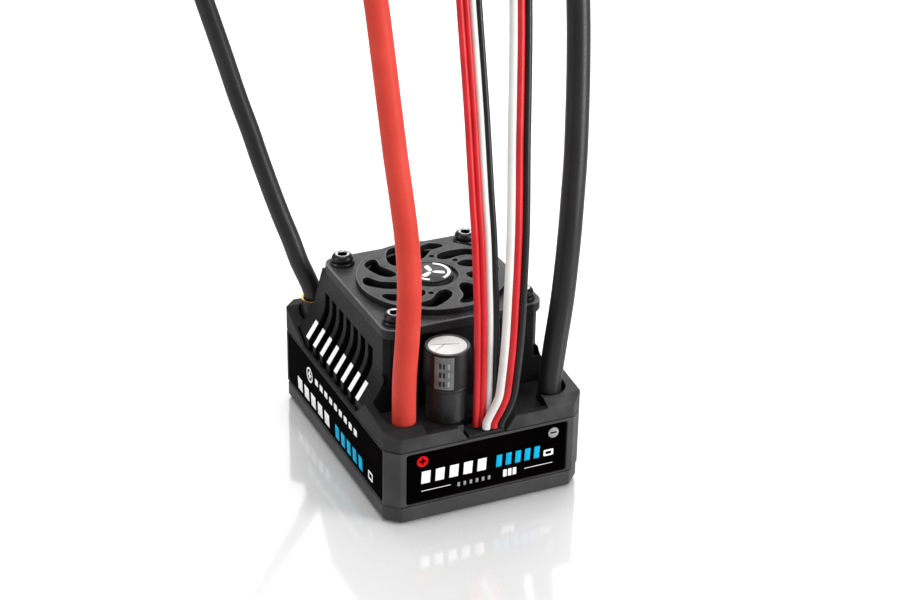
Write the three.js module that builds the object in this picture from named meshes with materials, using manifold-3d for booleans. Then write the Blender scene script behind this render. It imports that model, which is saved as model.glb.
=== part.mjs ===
// Electronic speed controller for a brushless motor, in millimetres, +Z up.
// Origin: middle of the underside. -Y is the battery end, +Y the motor end, -X the side with the ribs
// seen first. Heights below are counted from a plane BASE above the underside, and each piece is
// lifted by BASE when it is added. The case is a bottom plate, a walled body and a top cover; an
// anodised heatsink stands through the cover and carries a cooling fan under a swirl guard.
import * as THREE from 'three';
import * as BufferGeometryUtils from 'three/addons/utils/BufferGeometryUtils.js';
import Module from 'manifold-3d';

const wasm = await Module();
wasm.setup();

// ---------------------------------------------------------------- driving dimensions
const CASE_W = 37;
const CASE_L = 51.2;
const CORNER = 2.2;
const WALL = 1.5;
const BASE = 1.0;
const PLATE_TOP = 2.2;
const BODY_TOP = 13.1;
const DECK = 15.2;
const RIM_TOP = 15.9;
const BLOCK_TOP = 17.9;
const GAP = 0.2;
const COVER_BOTTOM = BODY_TOP + GAP;

const SINK_FRONT = -14.4;
const SINK_BACK = 18.5;
const SINK_BOTTOM = 13.4;
const SINK_TOP = 29.1;
const SINK_HALF = 14.5;
const FLARE_HALF = 17.8;
const FIN_PITCH = 3.4;
const FIN_GAP = 2.0;
const FIN_COUNT = 8;
const FIRST_FIN = 14.25;
const GROOVE_TOP = 24.7;

const FAN_Y = -0.7;
const GUARD_HALF = 14.9;
const GUARD_BOTTOM = 29.3;
const GUARD_TOP = 31.2;
const SCREW_PITCH = 24;
const DUCT_R = 11.9;
const POCKET_FLOOR = 22.6;

const LEAD_X = 13.7;
const LEAD_Y = -20.9;
const LEAD_R = 2.05;
const MOTOR_LEAD_R = 1.75;
const TAB_X = 13.7;
const TAB_Y = 21.4;
const TAB_TOP = 20.0;
const CAP_X = -5.2;
const CAP_Y = -19.5;
const CAP_R = 4.05;
const CAP_TOP = 28.9;
const CAP_BOTTOM = 22.1;
const CASE_SCREWS = [[-8.5, -22.3], [8.5, -22.3], [-7.0, 22.3], [7.0, 22.3]];

const BOARD_BOTTOM = 7.2;
const BOARD_TOP = 8.8;

// ---------------------------------------------------------------- solids and booleans
function solid(geometry) {
  const plain = geometry.clone();
  plain.deleteAttribute('normal');
  plain.deleteAttribute('uv');
  const merged = BufferGeometryUtils.mergeVertices(plain, 1e-4);
  return new wasm.Manifold(new wasm.Mesh({
    numProp: 3,
    vertProperties: new Float32Array(merged.attributes.position.array),
    triVerts: new Uint32Array(merged.index.array),
  }));
}

function geometryOf(body) {
  const mesh = body.getMesh();
  const geometry = new THREE.BufferGeometry();
  geometry.setAttribute('position', new THREE.BufferAttribute(new Float32Array(mesh.vertProperties), 3));
  geometry.setIndex(new THREE.BufferAttribute(new Uint32Array(mesh.triVerts), 1));
  geometry.computeVertexNormals();
  return geometry;
}

function join(bodies) {
  return bodies.reduce((whole, body) => whole.add(body));
}

function cut(body, tools) {
  return tools.reduce((whole, tool) => whole.subtract(tool), body);
}

function box(x0, x1, y0, y1, z0, z1) {
  const geometry = new THREE.BoxGeometry(x1 - x0, y1 - y0, z1 - z0);
  geometry.translate((x0 + x1) / 2, (y0 + y1) / 2, (z0 + z1) / 2);
  return solid(geometry);
}

function rod(radius, x, y, z0, z1, sides = 16) {
  const geometry = new THREE.CylinderGeometry(radius, radius, z1 - z0, sides);
  geometry.rotateX(Math.PI / 2);
  geometry.translate(x, y, (z0 + z1) / 2);
  return solid(geometry);
}

// A turned solid about a vertical axis, from [radius, z] pairs that close on the axis or on themselves.
function turned(profile, x, y, sides = 20) {
  const points = profile.map(([radius, z]) => new THREE.Vector2(radius, z));
  const geometry = new THREE.LatheGeometry(points, sides);
  geometry.rotateX(Math.PI / 2);
  geometry.translate(x, y, 0);
  return solid(geometry);
}

function tube(outer, inner, x, y, z0, z1, sides = 16) {
  return turned([[inner, z0], [outer, z0], [outer, z1], [inner, z1], [inner, z0]], x, y, sides);
}

function shapeOf(points) {
  return new THREE.Shape(points.map(([a, b]) => new THREE.Vector2(a, b)));
}

function plate(shape, z0, z1, curveSegments = 8) {
  const geometry = new THREE.ExtrudeGeometry(shape, { depth: z1 - z0, bevelEnabled: false, curveSegments });
  geometry.translate(0, 0, z0);
  return solid(geometry);
}

// An outline in X and Z, drawn out along Y.
function alongY(points, y0, y1) {
  const geometry = new THREE.ExtrudeGeometry(shapeOf(points), { depth: y1 - y0, bevelEnabled: false });
  geometry.rotateX(Math.PI / 2);
  geometry.translate(0, y1, 0);
  return solid(geometry);
}

// An outline in Y and Z, drawn out along X.
function alongX(points, x0, x1) {
  const geometry = new THREE.ExtrudeGeometry(shapeOf(points), { depth: x1 - x0, bevelEnabled: false });
  geometry.rotateX(Math.PI / 2);
  geometry.rotateZ(Math.PI / 2);
  geometry.translate(x0, 0, 0);
  return solid(geometry);
}

function octagon(halfX, halfY, corner) {
  return shapeOf([
    [-halfX + corner, -halfY], [halfX - corner, -halfY], [halfX, -halfY + corner], [halfX, halfY - corner],
    [halfX - corner, halfY], [-halfX + corner, halfY], [-halfX, halfY - corner], [-halfX, -halfY + corner],
  ]);
}

function roundedRectangle(halfX, halfY, radius) {
  const shape = new THREE.Shape();
  shape.moveTo(halfX - radius, -halfY);
  shape.absarc(halfX - radius, -halfY + radius, radius, -Math.PI / 2, 0);
  shape.absarc(halfX - radius, halfY - radius, radius, 0, Math.PI / 2);
  shape.absarc(-halfX + radius, halfY - radius, radius, Math.PI / 2, Math.PI);
  shape.absarc(-halfX + radius, -halfY + radius, radius, Math.PI, Math.PI * 1.5);
  return shape;
}

// ---------------------------------------------------------------- the assembly
const controller = new THREE.Group();

const FINISH = {
  casePlastic: { color: 0x2f2f31, roughness: 0.55, metalness: 0.0 },
  coverPlastic: { color: 0x262628, roughness: 0.6, metalness: 0.0 },
  anodised: { color: 0x1f1f21, roughness: 0.45, metalness: 0.7 },
  guard: { color: 0x3a3a3c, roughness: 0.5, metalness: 0.3 },
  fanPlastic: { color: 0x141415, roughness: 0.45, metalness: 0.0 },
  label: { color: 0x080808, roughness: 0.3, metalness: 0.0 },
  blackSteel: { color: 0x1a1a1b, roughness: 0.35, metalness: 0.9 },
  bareAluminium: { color: 0xd8d8da, roughness: 0.3, metalness: 1.0 },
  copper: { color: 0xb8703a, roughness: 0.35, metalness: 1.0 },
  gold: { color: 0xd9a441, roughness: 0.25, metalness: 1.0 },
  board: { color: 0x123a24, roughness: 0.5, metalness: 0.0 },
  epoxy: { color: 0x161616, roughness: 0.6, metalness: 0.0 },
  padGrey: { color: 0x8d93a0, roughness: 0.9, metalness: 0.0 },
  redSilicone: { color: 0xd43c30, roughness: 0.6, metalness: 0.0 },
  blackSilicone: { color: 0x1b1b1c, roughness: 0.6, metalness: 0.0 },
  ribbonRed: { color: 0xd8242a, roughness: 0.45, metalness: 0.0 },
  ribbonWhite: { color: 0xe8e8e4, roughness: 0.45, metalness: 0.0 },
};

function add(name, body, finish) {
  const geometry = body.isBufferGeometry ? body : geometryOf(body);
  geometry.translate(0, 0, BASE);
  const mesh = new THREE.Mesh(geometry, new THREE.MeshStandardMaterial(FINISH[finish]));
  mesh.name = name;
  controller.add(mesh);
  return mesh;
}

// ---------------------------------------------------------------- case shells
const SCREW_HEAD_R = 1.9;
const SCREW_HEAD_DEPTH = 1.3;
const SCREW_SHANK_R = 1.0;
const SCREW_TIP = 14.2;

function bottomPlate() {
  const bevel = 0.6;
  const outline = octagon(CASE_W / 2 - bevel, CASE_L / 2 - bevel, CORNER);
  const blank = new THREE.ExtrudeGeometry(outline, {
    depth: PLATE_TOP + BASE, bevelThickness: bevel, bevelSize: bevel, bevelSegments: 1,
  });
  blank.translate(0, 0, bevel - BASE);
  const slab = solid(blank).subtract(box(-30, 30, -40, 40, PLATE_TOP, 10));
  const pads = [[-12, -10], [12, -10], [-12, 12], [12, 12]].map(([x, y]) => rod(1.4, x, y, 1.5, 3.2, 10));
  const bores = CASE_SCREWS.flatMap(([x, y]) => [
    rod(SCREW_HEAD_R + 0.3, x, y, -BASE - 1, SCREW_HEAD_DEPTH + 0.3, 16),
    rod(SCREW_SHANK_R + 0.3, x, y, 0, 5, 10),
  ]);
  return cut(join([slab, ...pads]), bores);
}

const LABEL_DEPTH = 0.4;
const LABEL_THICK = 0.25;
const FRONT_LABEL = { halfX: 15.0, low: 2.8, high: 12.45, radius: 0.5 };
const SIDE_LABEL = { halfY: 22.8, low: 2.75, high: 12.85, radius: 0.7 };

// A thin rounded plate upright on the front wall; inset is its distance in from the wall's face.
function frontPanel(grow, inset, thick) {
  const half = (FRONT_LABEL.high - FRONT_LABEL.low) / 2 + grow;
  const outline = roundedRectangle(FRONT_LABEL.halfX + grow, half, FRONT_LABEL.radius);
  const geometry = new THREE.ExtrudeGeometry(outline, { depth: thick, bevelEnabled: false, curveSegments: 4 });
  geometry.rotateX(Math.PI / 2);
  geometry.translate(0, -CASE_L / 2 + inset + thick, (FRONT_LABEL.high + FRONT_LABEL.low) / 2);
  return solid(geometry);
}

function sidePanel(side, grow, inset, thick) {
  const half = (SIDE_LABEL.high - SIDE_LABEL.low) / 2 + grow;
  const outline = roundedRectangle(SIDE_LABEL.halfY + grow, half, SIDE_LABEL.radius);
  const geometry = new THREE.ExtrudeGeometry(outline, { depth: thick, bevelEnabled: false, curveSegments: 3 });
  geometry.rotateX(Math.PI / 2);
  geometry.rotateZ(Math.PI / 2);
  const inner = CASE_W / 2 - inset - thick;
  geometry.translate(side > 0 ? inner : -inner - thick, 0, (SIDE_LABEL.high + SIDE_LABEL.low) / 2);
  return solid(geometry);
}

function caseBody() {
  const bottom = PLATE_TOP + GAP;
  const outer = plate(octagon(CASE_W / 2, CASE_L / 2, CORNER), bottom, BODY_TOP);
  const inner = plate(octagon(CASE_W / 2 - WALL, CASE_L / 2 - WALL, CORNER), bottom - 1, BODY_TOP + 1);
  const posts = CASE_SCREWS.map(([x, y]) => rod(2.3, x, y, bottom, BODY_TOP, 14));
  const postBlocks = CASE_SCREWS.map(([x, y]) => {
    const reach = CASE_L / 2 - WALL / 2;
    return box(x - 1.6, x + 1.6, y < 0 ? -reach : y, y < 0 ? y : reach, bottom, BODY_TOP);
  });
  const walls = join([outer.subtract(inner), ...posts, ...postBlocks]);
  const tools = [
    ...CASE_SCREWS.map(([x, y]) => rod(SCREW_SHANK_R + 0.3, x, y, 0, 20, 10)),
    frontPanel(0.15, -1, LABEL_DEPTH + 1),
    sidePanel(-1, 0.15, -1, LABEL_DEPTH + 1),
    sidePanel(1, 0.15, -1, LABEL_DEPTH + 1),
  ];
  return cut(walls, tools);
}

const NOTCH_TOP = [-5.6, 5.1];
const NOTCH_BOTTOM = [-3.8, 3.3];
const RIM_DEPTH = 1.3;
const BLOCK_INNER = 11.3;

function topCover() {
  const halfL = CASE_L / 2;
  const outer = plate(octagon(CASE_W / 2, halfL, CORNER), COVER_BOTTOM, BLOCK_TOP);
  const shoulder = alongX([
    [-halfL - 1, 12], [-halfL - 1, RIM_TOP - 0.4], [-halfL, RIM_TOP], [-halfL + CORNER, RIM_TOP + 0.95],
    [-15, BLOCK_TOP - 0.1], [-10.6, 13.8], [14.6, 13.8], [halfL - CORNER, BLOCK_TOP], [halfL + 1, BLOCK_TOP],
    [halfL + 1, 12],
  ], -20, 20);
  const blank = outer.intersect(shoulder);
  const rimBack = -halfL + RIM_DEPTH;
  const front = SINK_FRONT - 0.3;
  const tools = [
    box(-FLARE_HALF - 0.15, FLARE_HALF + 0.15, front, SINK_BACK + 0.3, 12, 20),
    box(-BLOCK_INNER, BLOCK_INNER, rimBack, front + 1, DECK, 20),
    box(-BLOCK_INNER, BLOCK_INNER, -halfL - 1, rimBack + 1, RIM_TOP, 20),
    alongY([[NOTCH_BOTTOM[0], 12], [NOTCH_BOTTOM[1], 12], [NOTCH_BOTTOM[1], 13.3], [NOTCH_TOP[1], 16],
      [NOTCH_TOP[0], 16], [NOTCH_BOTTOM[0], 13.3]], -halfL - 1, rimBack + 0.5),
    box(NOTCH_BOTTOM[0], NOTCH_BOTTOM[1], -halfL + 0.5, -21.6, 12, 20),
    ...CASE_SCREWS.map(([x, y]) => rod(SCREW_SHANK_R + 0.3, x, y, 12, SCREW_TIP + 0.3, 10)),
  ];
  for (const side of [-1, 1]) {
    tools.push(rod(3.2, side * LEAD_X, -20, DECK, 20, 20));
    tools.push(rod(LEAD_R + 0.2, side * LEAD_X, LEAD_Y, 12, 20));
    const inner = Math.min(side * 10.9, side * 16.9);
    tools.push(box(inner, inner + 6.0, -20, front + 1, DECK, 20));
  }
  for (const x of [-TAB_X, 0, TAB_X]) {
    tools.push(rod(2.8, x, TAB_Y, 12, 20));
  }
  return cut(blank, tools);
}

function caseScrew([x, y]) {
  const head = turned([[0, 0.15], [SCREW_HEAD_R, 0.15], [SCREW_HEAD_R, 1.3], [SCREW_SHANK_R, 1.5],
    [SCREW_SHANK_R, SCREW_TIP - 0.6], [0.4, SCREW_TIP], [0, SCREW_TIP]], x, y, 12);
  const slotA = box(x - 1.1, x + 1.1, y - 0.25, y + 0.25, -1, 0.8);
  const slotB = box(x - 0.25, x + 0.25, y - 1.1, y + 1.1, -1, 0.8);
  return cut(head, [slotA, slotB]);
}

add('bottom_plate', bottomPlate(), 'casePlastic');
add('case_body', caseBody(), 'casePlastic');
add('top_cover', topCover(), 'coverPlastic');
add('front_label', frontPanel(0, LABEL_DEPTH - LABEL_THICK - 0.05, LABEL_THICK), 'label');
add('left_label', sidePanel(-1, 0, LABEL_DEPTH - LABEL_THICK - 0.05, LABEL_THICK), 'label');
add('right_label', sidePanel(1, 0, LABEL_DEPTH - LABEL_THICK - 0.05, LABEL_THICK), 'label');
CASE_SCREWS.forEach((place, index) => add(`case_screw_${index + 1}`, caseScrew(place), 'blackSteel'));

// ---------------------------------------------------------------- heatsink
const POCKET_HALF = 13.2;
const POCKET_CORNER = 5.5;
const FAN_SCREWS = [[-1, -1], [1, -1], [1, 1], [-1, 1]].map(([sx, sy]) => [
  sx * SCREW_PITCH / 2, FAN_Y + sy * SCREW_PITCH / 2,
]);

// Below the ribs' sloped feet, shallow slots part the foot down to its underside, clear of the case's inside.
const FOOT_SLOT_X = CASE_W / 2 - WALL + 0.05;

// Right half of the section across the heatsink: foot, sloped facet, hollow curve, upright wall.
function sinkSection() {
  const curve = new THREE.QuadraticBezierCurve(
    new THREE.Vector2(15.85, 18.75), new THREE.Vector2(SINK_HALF, 20.7), new THREE.Vector2(SINK_HALF, 23.0),
  );
  const half = [[FLARE_HALF, SINK_BOTTOM], [FLARE_HALF, 15.7], ...curve.getPoints(4).map((p) => [p.x, p.y]),
    [SINK_HALF, SINK_TOP]];
  return [...half, ...half.map(([x, z]) => [-x, z]).reverse()];
}

function heatsink() {
  const blank = alongY(sinkSection(), SINK_FRONT, SINK_BACK);
  const pedestal = box(-11.5, 11.5, -8.5, 12.5, 10.8, SINK_BOTTOM + 0.5);
  const tools = [
    alongX([[14.9, SINK_TOP + 0.01], [18.6, 22], [22, 22], [22, 32], [14.9, 32]], -20, 20),
    fanPocket(POCKET_HALF, POCKET_CORNER, POCKET_FLOOR, SINK_TOP + 1),
    ...FAN_SCREWS.map(([x, y]) => rod(1.2, x, y, 25.7, SINK_TOP + 1, 12)),
  ];
  for (let index = 0; index < FIN_COUNT - 1; index += 1) {
    const middle = FIRST_FIN - FIN_PITCH * (index + 0.5);
    tools.push(box(-20, 20, middle - FIN_GAP / 2, middle + FIN_GAP / 2, 15, GROOVE_TOP));
    for (const side of [-1, 1]) {
      const inner = Math.min(side * FOOT_SLOT_X, side * 20);
      tools.push(box(inner, inner + 20 - FOOT_SLOT_X, middle - FIN_GAP / 2, middle + FIN_GAP / 2, 12, 16));
    }
  }
  for (const side of [-1, 1]) {
    const corner = [[SINK_HALF - 1.1, SINK_FRONT - 0.1], [SINK_HALF + 0.1, SINK_FRONT + 1.1],
      [SINK_HALF + 0.1, SINK_FRONT - 0.1]].map(([x, y]) => [side * x, y]);
    tools.push(plate(shapeOf(side > 0 ? corner : corner.reverse()), 20, SINK_TOP + 1));
  }
  return cut(blank.add(pedestal), tools);
}

function fanPocket(half, corner, z0, z1) {
  const geometry = new THREE.ExtrudeGeometry(octagon(half, half, corner), { depth: z1 - z0, bevelEnabled: false });
  geometry.translate(0, FAN_Y, z0);
  return solid(geometry);
}

add('heatsink', heatsink(), 'anodised');

// ---------------------------------------------------------------- fan
const HUB_R = 5.2;
const BLADE_COUNT = 7;
const ROTOR_R = 11.4;

function fanHousing() {
  const floorTop = 24.0;
  const bottom = POCKET_FLOOR + GAP;
  const blank = fanPocket(POCKET_HALF - 0.3, POCKET_CORNER + 0.1, bottom, SINK_TOP - 0.1);
  const duct = rod(DUCT_R, 0, FAN_Y, floorTop, SINK_TOP + 1, 32);
  const airway = tube(DUCT_R, HUB_R, 0, FAN_Y, bottom - 1, floorTop + 0.5, 32);
  const arms = [0, 1, 2].map((index) => {
    const arm = new THREE.BoxGeometry(DUCT_R, 1.6, floorTop - bottom);
    arm.translate(DUCT_R / 2 + 0.5, 0, 0);
    arm.rotateZ(index * Math.PI * 2 / 3 + 0.4);
    arm.translate(0, FAN_Y, (floorTop + bottom) / 2);
    return solid(arm);
  });
  const holder = tube(1.95, 1.4, 0, FAN_Y, floorTop - 0.5, 27.0);
  return join([cut(blank, [duct, airway]), ...arms, holder]);
}

function fanRotor() {
  const cup = turned([[0, 28.2], [0, 27.5], [4.5, 27.5], [4.5, 24.6], [HUB_R, 24.6], [HUB_R, 27.9],
    [HUB_R - 0.4, 28.2], [0, 28.2]], 0, FAN_Y, 30);
  const boss = rod(0.9, 0, FAN_Y, 27.25, 27.8, 16);
  const blades = [];
  for (let index = 0; index < BLADE_COUNT; index += 1) {
    const blade = new THREE.BoxGeometry(ROTOR_R - HUB_R + 0.3, 0.6, 4.2);
    blade.rotateX(0.85);
    blade.translate((ROTOR_R + HUB_R) / 2 - 0.2, 0, 26.3);
    blade.rotateZ(index * Math.PI * 2 / BLADE_COUNT);
    blade.translate(0, FAN_Y, 0);
    blades.push(solid(blade));
  }
  const trim = rod(ROTOR_R, 0, FAN_Y, 20, 32, 40);
  return join([cup, boss, ...blades]).intersect(trim).subtract(rod(0.65, 0, FAN_Y, 20, 27.5, 12));
}

function fanStator() {
  const core = tube(4.1, 2.2, 0, FAN_Y, 24.4, 26.6, 20);
  const slots = [0, 1, 2, 3].map((index) => {
    const slot = new THREE.BoxGeometry(1.6, 0.8, 4);
    slot.translate(3.9, 0, 25.5);
    slot.rotateZ(index * Math.PI / 2 + Math.PI / 4);
    slot.translate(0, FAN_Y, 0);
    return solid(slot);
  });
  return cut(core, slots);
}

add('fan_housing', fanHousing(), 'fanPlastic');
add('fan_bearing', tube(1.2, 0.7, 0, FAN_Y, 24.15, 26.9, 12), 'gold');
add('fan_stator', fanStator(), 'copper');
add('fan_rotor', fanRotor(), 'fanPlastic');
add('fan_shaft', rod(0.5, 0, FAN_Y, 24.2, 27.3, 12), 'blackSteel');

// ---------------------------------------------------------------- swirl guard, badge and screws
const DISC_R = 13.4;
const DISC_TOP = 32.4;
const OPENING_COUNT = 10;
const OPENING_PHASE = 6;
// One opening's outline as [radius, degrees]: rounded near the hub, swept back as it runs outwards.
const OPENING = [[6.3, 3], [6.3, 14], [8.0, 16], [10.0, 5.5], [12.2, -8], [12.2, -19], [11.2, -22], [9.5, -12],
  [7.4, -5]];

function opening(index) {
  const turn = OPENING_PHASE + index * 360 / OPENING_COUNT;
  const corners = OPENING.map(([radius, degrees]) => {
    const angle = THREE.MathUtils.degToRad(turn + degrees);
    return new THREE.Vector3(radius * Math.cos(angle), FAN_Y + radius * Math.sin(angle), 0);
  });
  const rim = new THREE.CatmullRomCurve3(corners, true).getPoints(16).slice(0, -1);
  return shapeOf(rim.map((point) => [point.x, point.y]));
}

function fanGuard() {
  const outline = roundedRectangle(GUARD_HALF, GUARD_HALF, 2.4);
  const square = shapeOf(outline.getPoints(3).map((point) => [point.x, point.y + FAN_Y]));
  const airway = turned([[0, 25], [DUCT_R, 25], [DUCT_R, GUARD_TOP - 0.7], [DISC_R - 0.9, GUARD_TOP - 0.3],
    [0, GUARD_TOP - 0.3]], 0, FAN_Y, 32);
  const disc = turned([[0, GUARD_TOP - 0.5], [DISC_R, GUARD_TOP - 0.5], [DISC_R, GUARD_TOP],
    [DISC_R - 0.3, DISC_TOP], [0, DISC_TOP]], 0, FAN_Y, 40);
  const tools = [airway];
  for (let index = 0; index < OPENING_COUNT; index += 1) {
    tools.push(plate(opening(index), GUARD_TOP - 1, DISC_TOP + 1));
  }
  for (const [x, y] of FAN_SCREWS) {
    tools.push(rod(1.2, x, y, 25, 35, 12));
  }
  return cut(plate(square, GUARD_BOTTOM, GUARD_TOP).add(disc), tools);
}

function fanScrew([x, y]) {
  const seat = GUARD_TOP + 0.85;
  const head = turned([[0, 26.2], [0.9, 26.2], [0.9, seat], [1.95, seat], [1.95, seat + 0.3], [1.7, seat + 0.8],
    [1.3, seat + 1.1], [0, seat + 1.1]], x, y, 14);
  return head.subtract(rod(0.75, x, y, seat + 0.3, seat + 2, 6));
}

add('fan_guard', fanGuard(), 'guard');
add('hub_badge', turned([[0, DISC_TOP + 0.1], [3.7, DISC_TOP + 0.1], [3.7, DISC_TOP + 0.35],
  [3.4, DISC_TOP + 0.5], [0, DISC_TOP + 0.5]], 0, FAN_Y, 24), 'bareAluminium');
FAN_SCREWS.forEach((place, index) => {
  const washer = tube(2.2, 1.2, place[0], place[1], GUARD_TOP + 0.1, GUARD_TOP + 0.6, 14);
  add(`fan_washer_${index + 1}`, washer, 'blackSteel');
  add(`fan_screw_${index + 1}`, fanScrew(place), 'blackSteel');
});

// ---------------------------------------------------------------- electronics inside the case
function powerBoard() {
  const slab = plate(octagon(16.6, 23.6, CORNER + 0.3), BOARD_BOTTOM, BOARD_TOP);
  return cut(slab, [
    ...CASE_SCREWS.map(([x, y]) => box(x - 2.7, x + 2.7, y < 0 ? -30 : y - 2.7, y < 0 ? y + 2.7 : 30, 0, 20)),
  ]);
}

add('control_board', box(-14.5, 14.5, -17.5, 17.5, 3.4, 4.4), 'board');
add('board_header', box(-8, 8, 14.2, 16.6, 4.6, 7.0), 'epoxy');
add('power_board', powerBoard(), 'board');
for (let index = 0; index < 4; index += 1) {
  const x = index % 2 === 0 ? -9.5 : 3.5;
  const y = index < 2 ? -6.5 : 4.5;
  add(`power_transistor_${index + 1}`, box(x, x + 6, y, y + 5.2, BOARD_TOP + 0.1, BOARD_TOP + 1.1), 'epoxy');
}
add('thermal_pad', box(-11, 11, -8, 12, BOARD_TOP + 1.25, 10.6), 'padGrey');

for (const [name, side] of [['positive', -1], ['negative', 1]]) {
  add(`battery_post_${name}`, rod(1.6, side * LEAD_X, LEAD_Y, BOARD_TOP + 0.1, 13.6, 12), 'copper');
}

// A phase tab is a gold-plated cup, open towards the motor, in which the lead is soldered.
function phaseTab(x) {
  const cup = tube(2.45, 2.0, x, TAB_Y, BOARD_TOP + 0.1, TAB_TOP, 18);
  const mouth = box(x - 1.3, x + 1.3, TAB_Y, TAB_Y + 4, 12.5, 25);
  const floor = rod(2.2, x, TAB_Y, BOARD_TOP + 0.1, 12.0, 18);
  return cup.subtract(mouth).add(floor);
}

add('phase_tab_left', phaseTab(-TAB_X), 'gold');
add('phase_tab_middle', phaseTab(0), 'gold');
add('phase_tab_right', phaseTab(TAB_X), 'gold');

// ---------------------------------------------------------------- filter capacitor and its stand
add('capacitor_stand', turned([[0, DECK + 0.1], [3.55, DECK + 0.1], [3.55, CAP_BOTTOM - 0.9], [3.8, CAP_BOTTOM - 0.6],
  [3.8, CAP_BOTTOM - 0.1], [0, CAP_BOTTOM - 0.1]], CAP_X, CAP_Y, 22), 'coverPlastic');
add('capacitor_can', turned([[0, CAP_BOTTOM + 0.1], [CAP_R - 0.35, CAP_BOTTOM + 0.1], [CAP_R - 0.35, CAP_TOP - 0.4],
  [CAP_R - 0.6, CAP_TOP - 0.15], [0, CAP_TOP - 0.15]], CAP_X, CAP_Y, 22), 'bareAluminium');
add('capacitor_sleeve', turned([[CAP_R - 0.2, CAP_BOTTOM], [CAP_R, CAP_BOTTOM], [CAP_R, CAP_TOP - 0.25],
  [CAP_R - 0.2, CAP_TOP], [CAP_R - 0.75, CAP_TOP], [CAP_R - 0.75, CAP_TOP - 0.08], [CAP_R - 0.3, CAP_TOP - 0.08],
  [CAP_R - 0.2, CAP_TOP - 0.3], [CAP_R - 0.2, CAP_BOTTOM]], CAP_X, CAP_Y, 22), 'label');

// ---------------------------------------------------------------- leads, ribbons and what is on them
const GROMMET_TOP = 13.9;
add('ribbon_grommet', box(-3.6, 3.1, -23.9, -21.8, 11.3, GROMMET_TOP - 0.2)
  .add(box(-3.6, 3.1, -25.4, -21.8, 13.3, GROMMET_TOP)), 'blackSilicone');

function along(points) {
  return new THREE.CatmullRomCurve3(points.map(([x, y, z]) => new THREE.Vector3(x, y, z)), false, 'centripetal');
}

function cable(points, section, spacing) {
  const path = along(points);
  const steps = Math.ceil(path.getLength() / spacing);
  return new THREE.ExtrudeGeometry(section, { steps, bevelEnabled: false, extrudePath: path });
}

function roundSection(radius, sides) {
  const points = [];
  for (let index = 0; index < sides; index += 1) {
    const angle = index * Math.PI * 2 / sides;
    points.push([radius * Math.cos(angle), radius * Math.sin(angle)]);
  }
  return shapeOf(points);
}

// A flat cable's section: two long sides and two blunt edges, with its width on the second axis.
function flatSection(width, thick) {
  const a = thick / 2;
  const b = width / 2;
  const nose = thick * 0.25;
  return shapeOf([[-a, -b + nose], [-nose, -b], [nose, -b], [a, -b + nose], [a, b - nose], [nose, b],
    [-nose, b], [-a, b - nose]]);
}

const POSITIVE_ROUTE = [
  [-13.7, -20.9, 14.0], [-13.7, -20.9, 17.8], [-13.65, -20.9, 24.6], [-12.85, -20.4, 33.9],
  [-11.95, -18.7, 42.1], [-11.55, -16.6, 48.4], [-11.5, -14.3, 54.6], [-11.45, -11.7, 60.7],
  [-11.25, -8.8, 67.4], [-10.97, -5.6, 74.5], [-10.63, -1.9, 82.4], [-10.5, 1.0, 88.5], [-10.4, 2.9, 92.5],
];
const NEGATIVE_ROUTE = [
  [13.7, -20.9, 14.0], [13.7, -20.9, 17.6], [14.5, -20.9, 25.5], [15.7, -20.5, 33.7], [17.7, -18.2, 43.6],
  [19.1, -16.1, 49.9], [20.6, -13.7, 56.1], [22.1, -10.8, 62.9], [23.7, -7.4, 70.5], [25.2, -3.7, 78.6],
  [26.5, 0.3, 87.0], [27.2, 2.7, 92.0],
];
const MOTOR_ROUTE = [
  [-13.7, 21.4, 12.5], [-13.7, 21.4, 16.5], [-13.7, 21.4, 19.8], [-14.4, 21.7, 22.6], [-15.9, 22.9, 26.8],
  [-16.8, 24.6, 30.7], [-17.7, 26.3, 34.1], [-18.5, 28.1, 37.5], [-19.8, 31.8, 44.1], [-20.6, 34.7, 49.0],
  [-21.6, 37.5, 53.9], [-22.9, 42.3, 62.0], [-24.3, 47.1, 70.1], [-25.2, 50.3, 75.5],
];
const SWITCH_ROUTE = [
  [0.27, -23.5, 14.2], [0.28, -23.5, 17.2], [0.27, -23.5, 23.1], [0.3, -23.05, 34.3], [0.62, -21.6, 41.0],
  [1.15, -19.6, 47.4], [1.6, -17.3, 53.6], [2.2, -14.8, 59.6], [2.9, -11.9, 66.4], [3.7, -8.4, 74.0],
  [4.5, -4.7, 82.1], [4.9, -2.6, 88.0], [5.0, -2.0, 93.0],
];
const RECEIVER_ROUTE = [
  [1.25, -24.85, 14.2], [1.28, -24.85, 15.1], [2.3, -24.85, 17.0], [3.4, -24.85, 19.4], [3.85, -24.85, 22.8],
  [4.4, -24.8, 30.3], [5.05, -23.9, 37.3], [6.55, -21.2, 46.9], [7.6, -18.9, 53.0], [8.9, -15.8, 60.6],
  [10.4, -12.5, 68.0], [12.4, -8.0, 77.9], [13.6, -5.0, 84.8], [14.0, -4.0, 90.0], [14.0, -4.0, 92.0],
];

add('positive_lead', cable(POSITIVE_ROUTE, roundSection(LEAD_R, 10), 7), 'redSilicone');
add('negative_lead', cable(NEGATIVE_ROUTE, roundSection(LEAD_R, 10), 7), 'blackSilicone');
add('motor_lead', cable(MOTOR_ROUTE, roundSection(MOTOR_LEAD_R, 8), 6), 'blackSilicone');
add('switch_ribbon', cable(SWITCH_ROUTE, flatSection(4.6, 1.1), 5), 'ribbonRed');
add('receiver_ribbon', cable(RECEIVER_ROUTE, flatSection(4.2, 1.3), 5), 'ribbonWhite');

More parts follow.
